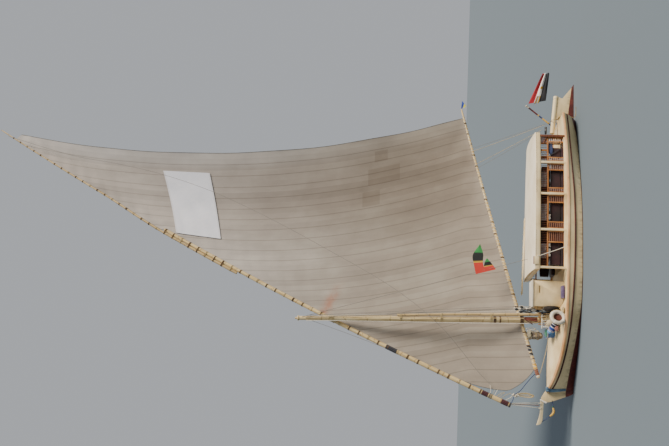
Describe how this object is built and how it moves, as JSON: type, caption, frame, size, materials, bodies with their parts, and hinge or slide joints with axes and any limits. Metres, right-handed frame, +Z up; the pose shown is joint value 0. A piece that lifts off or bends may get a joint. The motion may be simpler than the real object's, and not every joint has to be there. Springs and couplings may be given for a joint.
{
  "type": "sailing felucca",
  "caption": "Nile felucca afloat: round-bilged hull, louvred saloon under a canvas roof, deckhouse, raked mast, tall lateen sail on a bent yard, log-headed rudder.",
  "frame": {"origin": "on the centreline near amidships, at the waterline", "axes": "+X towards the bow, +Y to port, +Z up and the longest way"},
  "size_m": [14.972, 4.428, 27.4603],
  "materials": {
    "cream_paint": "semi-gloss oil paint on timber, brushed and weathered",
    "dark_red_paint": "matt dark red bottom paint",
    "varnished_wood": "red-brown varnish",
    "cushion_cloth": "woven maroon cotton",
    "purple_cloth": "woven cotton",
    "white_canvas": "plain woven canvas, laced",
    "white_paint": "white oil paint, chalky",
    "spar_wood": "pale painted and bare poles with lashings",
    "rope": "laid natural fibre rope",
    "ring_shell": "moulded shell, white",
    "striped_mat": "woven mat, blue and white stripes",
    "tub_plastic": "moulded plastic",
    "tyre_rubber": "worn black rubber",
    "brown_cloth": "faded brown-red cotton",
    "spare_canvas": "folded canvas and line, grey-olive",
    "flag_cloth": "woven polyester in red, white and black bands",
    "navy_rope": "laid rope, dark blue",
    "orange_wrap": "cord wrapped thick, yellow and orange",
    "blue_cloth": "hung cotton cloth, blue",
    "lamp_black": "black housing",
    "sail_cloth": "weathered cotton canvas in vertical cloths"
  },
  "bodies": {
    "hull": {"hull_planking": "cream_paint", "keel": "dark_red_paint", "stem_post": "cream_paint", "bow_beak": "cream_paint", "stern_post": "cream_paint", "rub_strake_port": "dark_red_paint", "rub_strake_starboard": "dark_red_paint", "cap_rail_port": "cream_paint", "cap_rail_starboard": "cream_paint", "saloon_frame_port": "cream_paint", "saloon_frame_starboard": "cream_paint", "louvres_port": "varnished_wood", "louvres_starboard": "varnished_wood", "seat_cushion_port": "cushion_cloth", "seat_cushion_starboard": "cushion_cloth", "back_cushion_port": "cushion_cloth", "back_cushion_starboard": "cushion_cloth", "saloon_sole": "varnished_wood", "saloon_table": "varnished_wood", "aft_screen": "varnished_wood", "roof_deck": "cream_paint", "roof_canvas": "white_canvas", "roof_fascia": "cream_paint", "deckhouse_walls": "cream_paint", "deckhouse_roof": "white_paint", "boarding_plank": "cream_paint", "deck_cushion": "purple_cloth", "mast": "spar_wood", "halyard_spar": "spar_wood", "mast_partners": "cream_paint", "pin_rail": "white_paint", "life_ring": "ring_shell", "mat_roll": "striped_mat", "deck_tub": "tub_plastic", "tyre_fender": "tyre_rubber", "mast_cloth": "brown_cloth", "port_shroud": "rope", "flag_staff": "cream_paint", "flag": "flag_cloth", "stern_lamp": "lamp_black", "bow_pendant": "navy_rope", "pendant_wrap": "orange_wrap", "stern_line": "rope", "curtain_rope": "rope", "bow_cloth": "blue_cloth", "line_flag": "flag_cloth"},
    "rudder": {"rudder_blade": "cream_paint", "tiller_log": "cream_paint"},
    "rig": {"yard_lower": "spar_wood", "yard_upper": "spar_wood", "yard_collar": "rope", "boom": "spar_wood", "boom_collar": "rope", "sail": "sail_cloth", "boom_bundle": "spare_canvas"}
  },
  "joints": [
    {"name": "rudder_turn", "type": "hinge", "parent": "hull", "child": "rudder", "pos_m": [-5.56, 0, 0], "axis": [0, 0, 1], "range_deg": [-35, 35]},
    {"name": "rig_swing", "type": "hinge", "parent": "hull", "child": "rig", "pos_m": [2.94, 0, 0.85], "axis": [0.044, 0, 0.999], "range_deg": [-12, 50]}
  ]
}
